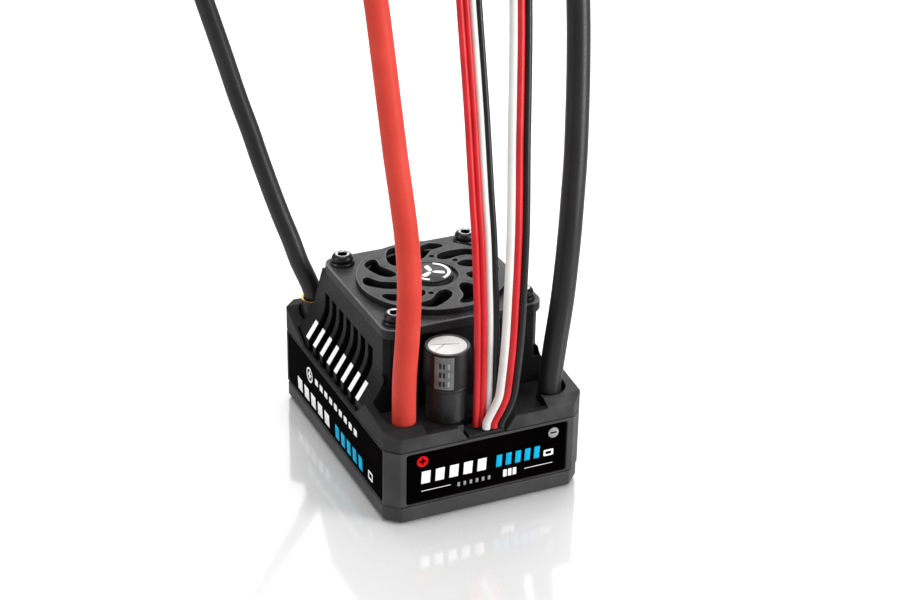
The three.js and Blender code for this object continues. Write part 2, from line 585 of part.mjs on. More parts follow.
// A bullet contact and its shrink sleeve stand in line with the lead's last stretch.
function inLine(route, profile, sides) {
  const end = new THREE.Vector3(...route[route.length - 1]);
  const before = new THREE.Vector3(...route[route.length - 2]);
  const axis = end.clone().sub(before).normalize();
  const turn = new THREE.Quaternion().setFromUnitVectors(new THREE.Vector3(0, 0, 1), axis);
  const geometry = new THREE.LatheGeometry(profile.map(([r, z]) => new THREE.Vector2(r, z)), sides);
  geometry.rotateX(Math.PI / 2);
  geometry.applyQuaternion(turn);
  geometry.translate(end.x, end.y, end.z);
  return solid(geometry);
}

function bulletProfile(radius) {
  return [[0, 0.3], [radius, 0.3], [radius, 7.0], [radius * 0.82, 7.4], [radius * 0.82, 8.2], [radius, 9.2],
    [radius, 14.2], [radius * 0.55, 15.2], [0, 15.2]];
}

function sleeveProfile(inner) {
  return [[inner, -5], [inner + 0.35, -5], [inner + 0.35, 7.6], [inner, 7.6], [inner, -5]];
}

for (const [name, route, radius, bullet] of [
  ['positive', POSITIVE_ROUTE, LEAD_R, 2.0],
  ['negative', NEGATIVE_ROUTE, LEAD_R, 2.0],
  ['motor', MOTOR_ROUTE, MOTOR_LEAD_R, 1.75],
]) {
  add(`${name}_bullet`, inLine(route, bulletProfile(bullet), 14), 'gold');
  add(`${name}_shrink`, inLine(route, sleeveProfile(radius + 0.3), 14),
    name === 'positive' ? 'redSilicone' : 'blackSilicone');
}

// ---------------------------------------------------------------- receiver plug and power switch
const PLUG = { x: 14.0, y: -4.0, z: 92.3, wide: 7.6, deep: 2.5, tall: 14 };
function servoPlug() {
  const { x, y, z, wide, deep, tall } = PLUG;
  const shell = box(x - wide / 2, x + wide / 2, y - deep / 2, y + deep / 2, z, z + tall);
  const key = box(x - wide / 2 + 0.4, x + wide / 2 - 0.4, y - deep / 2 - 0.35, y, z, z + 3);
  const sockets = [-1, 0, 1].map((index) => {
    const middle = x + index * 2.54;
    return box(middle - 0.45, middle + 0.45, y - 0.45, y + 0.45, z + 6, z + tall + 1);
  });
  return cut(shell.add(key), sockets);
}
add('receiver_plug', servoPlug(), 'epoxy');

const SWITCH = { x: 5.0, y: -2.0, z: 93.3, wide: 9.0, deep: 6.0, tall: 22 };
const SLIDER_TRAVEL = 2.6;
function switchHousing() {
  const { x, y, z, wide, deep, tall } = SWITCH;
  const halfW = wide / 2;
  const outline = shapeOf([[x - halfW + 1, y - deep / 2], [x + halfW - 1, y - deep / 2],
    [x + halfW, y - deep / 2 + 1], [x + halfW, y + deep / 2], [x - halfW, y + deep / 2],
    [x - halfW, y - deep / 2 + 1]]);
  const shell = plate(outline, z, z + tall);
  const front = y - deep / 2;
  const sliderWell = box(x - 1.9, x + 1.9, front - 1, front + 1.6, z + 11.5, z + 11.5 + 4.4 + SLIDER_TRAVEL);
  const buttonWell = new THREE.CylinderGeometry(1.7, 1.7, 3.4, 16);
  buttonWell.translate(x, front + 0.7, z + 6);
  return cut(shell, [sliderWell, solid(buttonWell)]);
}

function switchSlider() {
  const { x, y, z, deep } = SWITCH;
  const front = y - deep / 2;
  const base = box(x - 1.65, x + 1.65, front - 0.2, front + 1.3, z + 11.7, z + 15.7);
  const knob = box(x - 1.2, x + 1.2, front - 1.3, front, z + 12.9, z + 14.5);
  return base.add(knob);
}

function setButton() {
  const { x, y, z, deep } = SWITCH;
  const front = y - deep / 2;
  const button = new THREE.CylinderGeometry(1.45, 1.45, 2.1, 16);
  button.translate(x, front + 0.45, z + 6);
  return solid(button);
}

add('switch_housing', switchHousing(), 'epoxy');
add('switch_slider', switchSlider(), 'epoxy');
add('set_button', setButton(), 'ribbonRed');

export default controller;
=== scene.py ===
"""Electronic speed controller: finished looks, camera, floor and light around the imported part."""
import math

import bmesh
import bpy
from mathutils import Matrix, Vector
from mathutils.geometry import tessellate_polygon


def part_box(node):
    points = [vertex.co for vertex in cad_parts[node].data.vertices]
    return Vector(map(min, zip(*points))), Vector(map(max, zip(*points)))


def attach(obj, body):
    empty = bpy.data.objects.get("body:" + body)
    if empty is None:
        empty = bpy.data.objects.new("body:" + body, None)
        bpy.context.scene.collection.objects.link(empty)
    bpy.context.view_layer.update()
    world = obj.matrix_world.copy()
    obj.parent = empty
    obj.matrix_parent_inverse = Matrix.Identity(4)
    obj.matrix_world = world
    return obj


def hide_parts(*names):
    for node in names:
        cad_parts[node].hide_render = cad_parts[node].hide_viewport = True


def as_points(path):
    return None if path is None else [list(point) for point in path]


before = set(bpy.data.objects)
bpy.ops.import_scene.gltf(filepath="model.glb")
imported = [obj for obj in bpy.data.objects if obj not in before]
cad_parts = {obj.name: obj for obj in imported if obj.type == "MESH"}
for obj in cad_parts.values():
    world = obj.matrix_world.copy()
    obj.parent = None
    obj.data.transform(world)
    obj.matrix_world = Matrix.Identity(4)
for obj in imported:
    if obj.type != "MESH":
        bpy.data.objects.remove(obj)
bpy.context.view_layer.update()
MM = 0.001
BASE = 1.0  # millimetres from the underside up to the plane that the heights below are counted from
LIFT = Vector((0.0, 0.0, BASE * MM))


# ---------------------------------------------------------------- places read from the CAD, in millimetres
def spot(name):
    """The middle of a CAD node, seen from above."""
    low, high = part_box(name)
    return round((low.x + high.x) / 2 / MM, 2), round((low.y + high.y) / 2 / MM, 2)


def heights(name):
    """A CAD node's lowest and highest points, counted from the base plane."""
    low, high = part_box(name)
    return round(low.z / MM - BASE, 2), round(high.z / MM - BASE, 2)


CASE_HALF_W, CASE_HALF_L = (round(side / MM, 2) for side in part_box("case_body")[1].xy)
FAN_Y = spot("fan_guard")[1]
FAN_SCREWS = [spot(f"fan_screw_{number}") for number in range(1, 5)]
CAP_X, CAP_Y = spot("capacitor_can")

# ---------------------------------------------------------------- camera
CAMERA_PLACE = (-0.13702, -0.30840, 0.20479)
CAMERA_HEADING = 24.423  # degrees clockwise from +Y, seen from above
CAMERA_DIP = 28.362  # degrees below level
CAMERA_ROLL = 0.921  # degrees, with its right side up
CAMERA_LENS = 86.13  # millimetres
CAMERA_SHIFT = (0.0062, 0.0292)


def make_camera():
    yaw, pitch, roll = (math.radians(a) for a in (CAMERA_HEADING, CAMERA_DIP, CAMERA_ROLL))
    forward = Vector((math.sin(yaw) * math.cos(pitch), math.cos(yaw) * math.cos(pitch), -math.sin(pitch)))
    level = Vector((math.cos(yaw), -math.sin(yaw), 0.0))
    upright = level.cross(forward)
    right = level * math.cos(roll) + upright * math.sin(roll)
    up = upright * math.cos(roll) - level * math.sin(roll)
    data = bpy.data.cameras.new("camera")
    data.lens = CAMERA_LENS
    data.shift_x, data.shift_y = CAMERA_SHIFT
    data.clip_start = 0.01
    data.clip_end = 20.0
    camera = bpy.data.objects.new("camera", data)
    bpy.context.scene.collection.objects.link(camera)
    turn = Matrix((right, up, -forward)).transposed().to_4x4()
    camera.matrix_world = Matrix.Translation(CAMERA_PLACE) @ turn
    bpy.context.scene.camera = camera


make_camera()


# ---------------------------------------------------------------- colours and materials
def rgb(red, green, blue):
    """Linear colour from display values of 0 to 255."""
    def linear(value):
        part = value / 255
        return part / 12.92 if part <= 0.04045 else ((part + 0.055) / 1.055) ** 2.4

    return (linear(red), linear(green), linear(blue), 1.0)


def node(tree, kind, **values):
    made = tree.nodes.new(kind)
    for key, value in values.items():
        if hasattr(made, key):
            setattr(made, key, value)
        else:
            made.inputs[key.replace("_", " ")].default_value = value
    return made


def noise(tree, scale, detail=3.0, stretch=None):
    """Noise over the object's own coordinates; stretch squeezes or draws it out along each axis."""
    place = node(tree, "ShaderNodeTexCoord").outputs["Object"]
    if stretch:
        mapping = node(tree, "ShaderNodeMapping")
        mapping.inputs["Scale"].default_value = stretch
        tree.links.new(place, mapping.inputs["Vector"])
        place = mapping.outputs["Vector"]
    made = node(tree, "ShaderNodeTexNoise", Scale=scale, Detail=detail)
    tree.links.new(place, made.inputs["Vector"])
    return made.outputs["Fac"]


def spread(tree, source, low, high, start=0.35, end=0.65):
    made = node(tree, "ShaderNodeMapRange", From_Min=start, From_Max=end, To_Min=low, To_Max=high)
    tree.links.new(source, made.inputs["Value"])
    return made.outputs["Result"]


def blend(tree, factor, one, other):
    made = node(tree, "ShaderNodeMix", data_type="RGBA")
    tree.links.new(factor, made.inputs[0])
    for index, value in ((6, one), (7, other)):
        if isinstance(value, tuple):
            made.inputs[index].default_value = value
        else:
            tree.links.new(value, made.inputs[index])
    return made.outputs[2]


def surface(name, dark, light, rough, patch, grain, bump, depth, shine=None, metal=None, stretch=None,
            painted_sheen_specks=None, sockets=None):
    """Two close tones in soft patches, with a fine grain in the relief and the roughness. Tones are display
    values of 0 to 255, patch and grain are noise scales per metre, and depth is the relief in millimetres.
    shine is the specular level; specks are a lighter third tone, scattered as a painted reflection, and the
    noise values where it starts and is full."""
    made = bpy.data.materials.new(name)
    made.use_nodes = True
    tree = made.node_tree
    shader = tree.nodes["Principled BSDF"]
    patches = spread(tree, noise(tree, patch, 4.0, stretch), 0.0, 1.0)
    colour = blend(tree, patches, rgb(*dark), rgb(*light))
    fine = noise(tree, grain, 2.0, stretch)
    if painted_sheen_specks:
        tone, start, full = painted_sheen_specks
        coarser = noise(tree, grain * 0.55, 1.0)
        colour = blend(tree, spread(tree, coarser, 0.0, 1.0, start, full), colour, rgb(*tone))
    tree.links.new(colour, shader.inputs["Base Color"])
    tree.links.new(spread(tree, fine, *rough), shader.inputs["Roughness"])
    relief = node(tree, "ShaderNodeBump", Strength=bump, Distance=depth * MM)
    tree.links.new(fine, relief.inputs["Height"])
    tree.links.new(relief.outputs["Normal"], shader.inputs["Normal"])
    for key, value in {"Specular IOR Level": shine, "Metallic": metal, **(sockets or {})}.items():
        if value is not None:
            shader.inputs[key].default_value = value
    return made


LOW_SHINE = 0.32
RED_SHEEN = {"Sheen Weight": 0.05, "Sheen Roughness": 0.4}
BLACK_SHEEN = {"Sheen Weight": 0.04, "Sheen Roughness": 0.4}
CASE = surface("case_moulding", (50, 50, 51), (62, 62, 63), (0.42, 0.6), 180, 6000, 0.35, 0.03, LOW_SHINE)
COVER = surface("cover_moulding", (22, 21, 22), (31, 30, 31), (0.45, 0.62), 180, 6000, 0.35, 0.03, 0.15)
# A lighter copy of the cover's moulding: painted light on the end walls and the right block's top.
COVER_PAINTED_LIGHT = surface("cover_painted_light", (46, 45, 46), (64, 63, 64), (0.44, 0.62), 220, 3800, 0.5, 0.04, 0.2)
SINK = surface("black_anodising", (13, 13, 14), (20, 20, 21), (0.36, 0.52), 220, 5200, 0.3, 0.02, 0.1)
# Painted shade in the slots between the heatsink's feet.
SLOT_PAINTED_SHADE = surface("slot_painted_shade", (5, 5, 5), (9, 9, 9), (0.6, 0.8), 220, 5200, 0.3, 0.02, 0.05)
# White for the heatsink's bare cut facets, partly their metal and partly a painted highlight, and for the
# badge's mark.
CUT_GLARE_AND_BADGE_WHITE = surface("cut_facet_glare_and_badge_white", (250, 250, 250), (254, 254, 254), (0.3, 0.45), 500, 3000, 0.15, 0.01)
# The guard's lacquer, with lighter specks as a painted reflection.
GUARD = surface("guard_lacquer_painted_sheen", (31, 30, 32), (43, 42, 44), (0.38, 0.56), 300, 8000, 0.4, 0.02, 0.3,
                painted_sheen_specks=((84, 83, 82), 0.58, 0.76))
# Painted shade on the guard's walls and in its hub's sunk ring.
GUARD_PAINTED_SHADE = surface("guard_wall_painted_shade", (18, 18, 19), (28, 28, 29), (0.4, 0.58), 300, 8000, 0.4, 0.02, 0.25)
# Painted highlight on the easing along the guard's top edges.
GUARD_PAINTED_HIGHLIGHT = surface("guard_edge_painted_highlight", (74, 74, 75), (96, 96, 97), (0.34, 0.5), 300, 8000, 0.3, 0.02, 0.45)
FAN = surface("fan_moulding", (12, 12, 13), (20, 20, 21), (0.32, 0.5), 200, 5000, 0.25, 0.02, LOW_SHINE)
FILM = surface("label_film", (3, 2, 2), (6, 4, 4), (0.3, 0.42), 120, 2200, 0.12, 0.01, 0.001)
INK_WHITE = surface("white_ink", (248, 248, 248), (254, 254, 254), (0.35, 0.5), 600, 5000, 0.1, 0.01)
INK_BLUE = surface("blue_ink", (0, 166, 212), (2, 184, 230), (0.4, 0.55), 600, 5000, 0.1, 0.01, 0.1)
INK_RED = surface("red_ink", (204, 3, 9), (222, 8, 16), (0.4, 0.55), 600, 5000, 0.1, 0.01, 0.1)
INK_GREY = surface("grey_ink", (140, 140, 142), (160, 160, 162), (0.35, 0.5), 600, 5000, 0.1, 0.01)
STEEL_BLACK = surface("black_oxide", (24, 24, 25), (44, 43, 43), (0.25, 0.45), 500, 7000, 0.3, 0.015,
                      metal=0.7)
STEEL = surface("bare_steel", (150, 150, 152), (188, 188, 190), (0.2, 0.38), 400, 6000, 0.2, 0.01, metal=1.0)
ALUMINIUM = surface("bare_aluminium", (240, 240, 240), (252, 252, 252), (0.3, 0.44), 300, 5000, 0.2, 0.01,
                    metal=0.3)
COPPER = surface("wound_copper", (160, 84, 42), (206, 124, 72), (0.25, 0.42), 900, 5000, 0.4, 0.03, metal=1.0,
                 stretch=(1, 1, 6))
GOLD = surface("gold_plate", (196, 142, 58), (228, 182, 96), (0.16, 0.3), 500, 5200, 0.15, 0.01, metal=1.0)
BOARD = surface("board_mask", (14, 48, 28), (22, 66, 38), (0.3, 0.5), 700, 4200, 0.3, 0.02)
EPOXY = surface("black_epoxy", (20, 20, 21), (32, 32, 33), (0.45, 0.65), 400, 6500, 0.4, 0.02, LOW_SHINE)
PAD = surface("pad_rubber", (116, 122, 134), (140, 146, 158), (0.7, 0.9), 500, 3600, 0.5, 0.04)
RED_SILICONE = surface("red_silicone", (196, 58, 46), (206, 67, 54), (0.46, 0.6), 120, 3600, 0.22, 0.02, 0.16,
                       sockets=RED_SHEEN)
BLACK_SILICONE = surface("black_silicone", (22, 22, 23), (30, 30, 31), (0.36, 0.48), 120, 3600, 0.22, 0.02,
                         0.36, sockets=BLACK_SHEEN)
RUBBER = surface("grommet_rubber", (20, 20, 21), (30, 30, 31), (0.6, 0.8), 300, 4200, 0.4, 0.03, LOW_SHINE)
WIRE_RED = surface("red_insulation", (190, 20, 28), (204, 30, 37), (0.34, 0.48), 160, 3800, 0.15, 0.01, 0.35)
WIRE_WHITE = surface("white_insulation", (210, 210, 207), (220, 220, 217), (0.34, 0.48), 160, 3800, 0.15,
                     0.01, LOW_SHINE)
WIRE_BLACK = surface("black_insulation", (16, 16, 17), (26, 26, 27), (0.28, 0.42), 160, 3800, 0.15, 0.01,
                     LOW_SHINE)
SLEEVE = surface("capacitor_film", (10, 10, 11), (17, 17, 18), (0.42, 0.54), 260, 3600, 0.05, 0.01, 0.28)
SLEEVE_STRIPE = surface("capacitor_stripe", (92, 93, 94), (112, 113, 114), (0.34, 0.46), 700, 2600, 0.05,
                        0.01)
# Painted highlight on the sleeve's rolled top.
SLEEVE_CURL_PAINTED_HIGHLIGHT = surface("capacitor_curl_painted_highlight", (60, 60, 61), (80, 80, 81), (0.25, 0.35), 500, 3600, 0.05, 0.01)
STAND = surface("stand_plastic", (34, 34, 35), (46, 46, 47), (0.34, 0.46), 240, 5200, 0.2, 0.02, LOW_SHINE)
RED_PLASTIC = surface("button_plastic", (190, 26, 28), (208, 38, 38), (0.3, 0.45), 300, 5200, 0.2, 0.01)


# ---------------------------------------------------------------- mesh helpers (sizes in millimetres)
def point(x, y, z):
    """A place in metres, from millimetres with the height counted from the base plane."""
    return Vector((x, y, z + BASE)) * MM


def middle(face):
    """A face's middle in millimetres, with its height counted from the base plane."""
    return (face.calc_center_median() - LIFT) / MM


def piece(name, bm, materials, body="controller", nodes=(), sharp=35, bevel=0.0, weighted=False):
    """Turns a bmesh into a piece that rides on a body and stands for the CAD nodes named."""
    bmesh.ops.recalc_face_normals(bm, faces=bm.faces)
    mesh = bpy.data.meshes.new(name)
    bm.to_mesh(mesh)
    bm.free()
    for made in materials:
        mesh.materials.append(made)
    mesh.polygons.foreach_set("use_smooth", [True] * len(mesh.polygons))
    mesh.set_sharp_from_angle(angle=math.radians(sharp))
    obj = bpy.data.objects.new(name, mesh)
    bpy.context.scene.collection.objects.link(obj)
    if bevel:
        edge = obj.modifiers.new("edges", "BEVEL")
        edge.width = bevel * MM
        edge.segments = 2
        edge.limit_method = "ANGLE"
        edge.angle_limit = math.radians(38)
        edge.use_clamp_overlap = False
        edge.harden_normals = True
    if weighted:
        normals = obj.modifiers.new("normals", "WEIGHTED_NORMAL")
        normals.keep_sharp = True
        normals.weight = 100
    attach(obj, body)
    if nodes:
        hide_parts(*nodes)
    return obj


def refined(source, name, materials, bevel=0.12, body="controller", paint=None, cuts=()):
    """A copy of a CAD node with its flat faces merged, its edges eased and its faces painted. cuts are the
    lengthwise places, in millimetres, where a face is parted so that each part can take its own paint."""
    merge_reach, cut_reach = 0.002 * MM, 0.001 * MM
    flat_within = math.radians(0.8)
    bm = bmesh.new()
    bm.from_mesh(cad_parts[source].data)
    bmesh.ops.remove_doubles(bm, verts=bm.verts, dist=merge_reach)
    bmesh.ops.dissolve_limit(bm, angle_limit=flat_within, verts=bm.verts, edges=bm.edges)
    for y in cuts:
        whole = [*bm.verts, *bm.edges, *bm.faces]
        bmesh.ops.bisect_plane(bm, geom=whole, dist=cut_reach, plane_co=point(0, y, 0), plane_no=(0, 1, 0))
    bmesh.ops.triangulate(bm, faces=[face for face in bm.faces if len(face.verts) > 4])
    bm.normal_update()
    for face in bm.faces:
        face.material_index = paint(face) if paint else 0
    return piece(name, bm, materials, body, [source], bevel=bevel, weighted=True)


def lathe(bm, profile, x, y, segments=48, radius_at=None):
    """Turns (radius, height, material) points about a vertical axis; a first or last radius of 0 closes it.
    radius_at gives another radius for a radius, a height and an angle."""
    rings = []
    for radius, z, _ in profile:
        if radius == 0:
            rings.append([bm.verts.new(point(x, y, z))])
            continue
        ring = []
        for step in range(segments):
            angle = step * 2 * math.pi / segments
            r = radius_at(radius, z, angle) if radius_at else radius
            ring.append(bm.verts.new(point(x + r * math.cos(angle), y + r * math.sin(angle), z)))
        rings.append(ring)
    for low, high, (_, _, material) in zip(rings, rings[1:], profile):
        for step in range(segments):
            corners = [low[step % len(low)], low[(step + 1) % len(low)],
                       high[(step + 1) % len(high)], high[step % len(high)]]
            unique = list(dict.fromkeys(corners))
            if len(unique) > 2:
                bm.faces.new(unique).material_index = material
    return rings


def turned(bm, pairs, x, y, segments=48, radius_at=None):
    """Turns (radius, height) points about a vertical axis, all in the first material."""
    return lathe(bm, [(radius, z, 0) for radius, z in pairs], x, y, segments, radius_at)


def tube(bm, pairs, x, y, segments=48):
    """A turned shape with a hole through it: its last ring is joined to its first."""
    rings = turned(bm, pairs, x, y, segments)
    for step in range(segments):
        after = (step + 1) % segments
        bm.faces.new((rings[-1][step], rings[-1][after], rings[0][after], rings[0][step]))


def area(loop):
    """The loop's area, below zero where it runs clockwise."""
    return sum(a[0] * b[1] - b[0] * a[1] for a, b in zip(loop, loop[1:] + loop[:1])) / 2


def moved_in(loop, distance):
    """The loop moved to the left of its direction, which is into the material."""
    if not distance:
        return loop
    count = len(loop)
    result = []
    for index, (x, y) in enumerate(loop):
        before, after = loop[index - 1], loop[(index + 1) % count]
        dx, dy = after[0] - before[0], after[1] - before[1]
        size = math.hypot(dx, dy) or 1.0
        result.append((x - dy / size * distance, y + dx / size * distance))
    return result


def slab(bm, outer, holes, low, high, ease, place=None, top=0, side=0, edge=None):
    """A flat plate with holes and eased edges. place maps its own u, v, w to x, y, z; edge paints the easing
    along the top."""
    place = place or (lambda u, v, w: (u, v, w))
    edge = side if edge is None else edge
    loops = [list(outer) if area(outer) > 0 else list(outer)[::-1]]
    loops += [list(hole) if area(hole) < 0 else list(hole)[::-1] for hole in holes]
    halfway = 0.293  # how far in a quarter circle's middle lies, as part of its radius
    arc = [(1.0, 0.0), (halfway, halfway), (0.0, 1.0)]
    levels = [(ease * a, high - ease * b) for a, b in arc]
    levels += [(ease * a, low + ease * b) for a, b in reversed(arc)]
    caps = {0: [], len(levels) - 1: []}
    for loop in loops:
        rings = []
        for inset, w in levels:
            rings.append([bm.verts.new(point(*place(u, v, w))) for u, v in moved_in(loop, inset)])
        caps[0].append(rings[0])
        caps[len(levels) - 1].append(rings[-1])
        for level, (one, other) in enumerate(zip(rings, rings[1:])):
            for index in range(len(loop)):
                after = (index + 1) % len(loop)
                made = bm.faces.new((one[index], one[after], other[after], other[index]))
                made.material_index = edge if level < 2 else side
    for level, groups in caps.items():
        inset = levels[level][0]
        flat = [[Vector((u, v, 0.0)) for u, v in moved_in(loop, inset)] for loop in loops]
        verts = [vert for group in groups for vert in group]
        for triangle in tessellate_polygon(flat):
            bm.faces.new([verts[index] for index in triangle]).material_index = top


def circle(radius, x=0.0, y=0.0, count=64):
    return [(x + radius * math.cos(2 * math.pi * k / count), y + radius * math.sin(2 * math.pi * k / count))
            for k in range(count)]


def rounded(half_u, half_v, radius, u=0.0, v=0.0, steps=8):
    """A rectangle with rounded corners, its middle at u, v."""
    loop = []
    for cx, cy, start in ((1, -1, -90), (1, 1, 0), (-1, 1, 90), (-1, -1, 180)):
        for step in range(steps + 1):
            angle = math.radians(start + 90 * step / steps)
            loop.append((u + cx * (half_u - radius) + radius * math.cos(angle),
                         v + cy * (half_v - radius) + radius * math.sin(angle)))
    return loop


def smooth_loop(corners, per_span=6):
    """A closed curve through the corners."""
    count = len(corners)
    loop = []
    for index in range(count):
        a, b, c, d = (Vector(corners[(index + k) % count]) for k in (-1, 0, 1, 2))
        for step in range(per_span):
            t = step / per_span
            loop.append(tuple(((b * 2) + (c - a) * t + (a * 2 - b * 5 + c * 4 - d) * t ** 2
                               + (b * 3 - a - c * 3 + d) * t ** 3) / 2))
    return loop


# ---------------------------------------------------------------- leads and ribbons (routes in metres)
POSITIVE_ROUTE = [
    (-0.0137, -0.0209, 0.014), (-0.0137, -0.0209, 0.0178), (-0.01365, -0.0209, 0.0246),
    (-0.01285, -0.0204, 0.0339), (-0.01195, -0.0187, 0.0421), (-0.01155, -0.0166, 0.0484),
    (-0.0115, -0.0143, 0.0546), (-0.01145, -0.0117, 0.0607), (-0.01125, -0.0088, 0.0674),
    (-0.01097, -0.0056, 0.0745), (-0.01063, -0.0019, 0.0824), (-0.0105, 0.001, 0.0885),
    (-0.0104, 0.0029, 0.0925),
]
NEGATIVE_ROUTE = [
    (0.0137, -0.0209, 0.014), (0.0137, -0.0209, 0.0176), (0.0145, -0.0209, 0.0255),
    (0.0157, -0.0205, 0.0337), (0.0177, -0.0182, 0.0436), (0.0191, -0.0161, 0.0499),
    (0.0206, -0.0137, 0.0561), (0.0221, -0.0108, 0.0629), (0.0237, -0.0074, 0.0705),
    (0.0252, -0.0037, 0.0786), (0.0265, 0.0003, 0.087), (0.0272, 0.0027, 0.092),
]
MOTOR_ROUTE = [
    (-0.0137, 0.0214, 0.0125), (-0.0137, 0.0214, 0.0165), (-0.0137, 0.0214, 0.0198),
    (-0.0144, 0.0217, 0.0226), (-0.0159, 0.0229, 0.0268), (-0.0168, 0.0246, 0.0307),
    (-0.0177, 0.0263, 0.0341), (-0.0185, 0.0281, 0.0375), (-0.0198, 0.0318, 0.0441),
    (-0.0206, 0.0347, 0.049), (-0.0216, 0.0375, 0.0539), (-0.0229, 0.0423, 0.062),
    (-0.0243, 0.0471, 0.0701), (-0.0252, 0.0503, 0.0755),
]
SWITCH_ROUTE = [
    (0.00027, -0.0235, 0.0142), (0.00028, -0.0235, 0.0172), (0.00027, -0.0235, 0.0231),
    (0.0003, -0.02305, 0.0343), (0.00062, -0.0216, 0.041), (0.00115, -0.0196, 0.0474),
    (0.0016, -0.0173, 0.0536), (0.0022, -0.0148, 0.0596), (0.0029, -0.0119, 0.0664),
    (0.0037, -0.0084, 0.074), (0.0045, -0.0047, 0.0821), (0.0049, -0.0026, 0.088),
    (0.005, -0.002, 0.093),
]
RECEIVER_ROUTE = [
    (0.00125, -0.02485, 0.0142), (0.00128, -0.02485, 0.0151), (0.0023, -0.02485, 0.017),
    (0.0034, -0.02485, 0.0194), (0.00385, -0.02485, 0.0228), (0.0044, -0.0248, 0.0303),
    (0.00505, -0.0239, 0.0373), (0.00655, -0.0212, 0.0469), (0.0076, -0.0189, 0.053),
    (0.0089, -0.0158, 0.0606), (0.0104, -0.0125, 0.068), (0.0124, -0.008, 0.0779),
    (0.0136, -0.005, 0.0848), (0.014, -0.004, 0.09), (0.014, -0.004, 0.092),
]


def smooth_path(route, spacing=0.0016):
    """Points about evenly spaced along a centripetal curve through the route."""
    known = [Vector(p) + LIFT for p in route]
    ends = [known[0] * 2 - known[1], *known, known[-1] * 2 - known[-2]]
    path = []
    for a, b, c, d in zip(ends, ends[1:], ends[2:], ends[3:]):
        knots = [0.0]
        for one, other in ((a, b), (b, c), (c, d)):
            knots.append(knots[-1] + math.sqrt((other - one).length))
        t0, t1, t2, t3 = knots
        steps = max(1, math.ceil((c - b).length / spacing))
        for step in range(steps):
            t = t1 + (t2 - t1) * step / steps
            p = a * ((t1 - t) / (t1 - t0)) + b * ((t - t0) / (t1 - t0))
            q = b * ((t2 - t) / (t2 - t1)) + c * ((t - t1) / (t2 - t1))
            r = c * ((t3 - t) / (t3 - t2)) + d * ((t - t2) / (t3 - t2))
            u = p * ((t2 - t) / (t2 - t0)) + q * ((t - t0) / (t2 - t0))
            v = q * ((t3 - t) / (t3 - t1)) + r * ((t - t1) / (t3 - t1))
            path.append(u * ((t2 - t) / (t2 - t1)) + v * ((t - t1) / (t2 - t1)))
    return [*path, known[-1]]


def sweep(bm, path, section):
    """Draws a closed section of (across, through, material) points, in millimetres, along a path."""
    across = Vector((1.0, 0.0, 0.0))
    rings = []
    for index, place in enumerate(path):
        ahead = path[min(index + 1, len(path) - 1)]
        behind = path[max(index - 1, 0)]
        forward = (ahead - behind).normalized()
        across = (across - forward * across.dot(forward)).normalized()
        through = forward.cross(across)
        rings.append([bm.verts.new(place + across * (u * MM) + through * (v * MM)) for u, v, _ in section])
    count = len(section)
    for one, other in zip(rings, rings[1:]):
        for index in range(count):
            after = (index + 1) % count
            made = bm.faces.new((one[index], one[after], other[after], other[index]))
            made.material_index = section[index][2]
    for ring in (rings[0], rings[-1]):
        bm.faces.new(ring).material_index = section[0][2]


def round_section(radius, count=28):
    return [(radius * math.cos(2 * math.pi * k / count), radius * math.sin(2 * math.pi * k / count), 0)
            for k in range(count)]


def strand_section(count, radius, pitch, steps=7):
    """Round wires side by side, fused where they touch; each keeps its own material."""
    dip = math.asin(math.sqrt(radius ** 2 - (pitch / 2) ** 2) / radius)
    centres = [(index - (count - 1) / 2) * pitch for index in range(count)]
    section = []
    for index in range(count):
        start = math.pi if index == 0 else math.pi - dip
        end = 0.0 if index == count - 1 else dip
        for step in range(steps if index < count - 1 else steps + 1):
            angle = start + (end - start) * step / steps
            section.append((centres[index] + radius * math.cos(angle), radius * math.sin(angle), index))
    for index in reversed(range(count)):
        start = 0.0 if index == count - 1 else -dip
        end = -math.pi if index == 0 else -math.pi + dip
        for step in range(1 if index == count - 1 else 0, steps):
            angle = start + (end - start) * step / steps
            section.append((centres[index] + radius * math.cos(angle), radius * math.sin(angle), index))
    return section


BATTERY_LEAD_R = 2.05
MOTOR_LEAD_R = 1.75
SWITCH_STRANDS = strand_section(4, radius=0.6, pitch=1.133)
RECEIVER_STRANDS = strand_section(3, radius=0.71, pitch=1.38)


def cord_piece(name, node_name, route, section, materials):
    """A lead or a ribbon along its route, and the path that it follows."""
    path = smooth_path(route)
    bm = bmesh.new()
    sweep(bm, path, section)
    return piece(name, bm, materials, nodes=[node_name], sharp=50), path


red_lead, red_path = cord_piece("red_battery_lead", "positive_lead", POSITIVE_ROUTE,
                                round_section(BATTERY_LEAD_R), [RED_SILICONE])
black_lead, black_path = cord_piece("black_battery_lead", "negative_lead", NEGATIVE_ROUTE,
                                    round_section(BATTERY_LEAD_R), [BLACK_SILICONE])
phase_lead, phase_path = cord_piece("motor_phase_lead", "motor_lead", MOTOR_ROUTE,
                                    round_section(MOTOR_LEAD_R), [BLACK_SILICONE])
switch_wires, switch_path = cord_piece("switch_wires", "switch_ribbon", SWITCH_ROUTE, SWITCH_STRANDS,
                                       [WIRE_RED, WIRE_RED, WIRE_WHITE, WIRE_BLACK])
receiver_wires, receiver_path = cord_piece("receiver_wires", "receiver_ribbon", RECEIVER_ROUTE,
                                           RECEIVER_STRANDS, [WIRE_WHITE, WIRE_RED, WIRE_BLACK])


def in_line(route):
    """Matrix that stands a piece, built upright on the base plane, in line with a lead's last stretch."""
    end, before = Vector(route[-1]), Vector(route[-2])
    axis = (end - before).normalized()
    turn = Vector((0.0, 0.0, 1.0)).rotation_difference(axis).to_matrix().to_4x4()
    return Matrix.Translation(end + LIFT) @ turn @ Matrix.Translation(-LIFT)


BATTERY_PIN_R = 2.0
MOTOR_PIN_R = 1.75
BATTERY_SHRINK_R = 2.35
MOTOR_SHRINK_R = 2.05


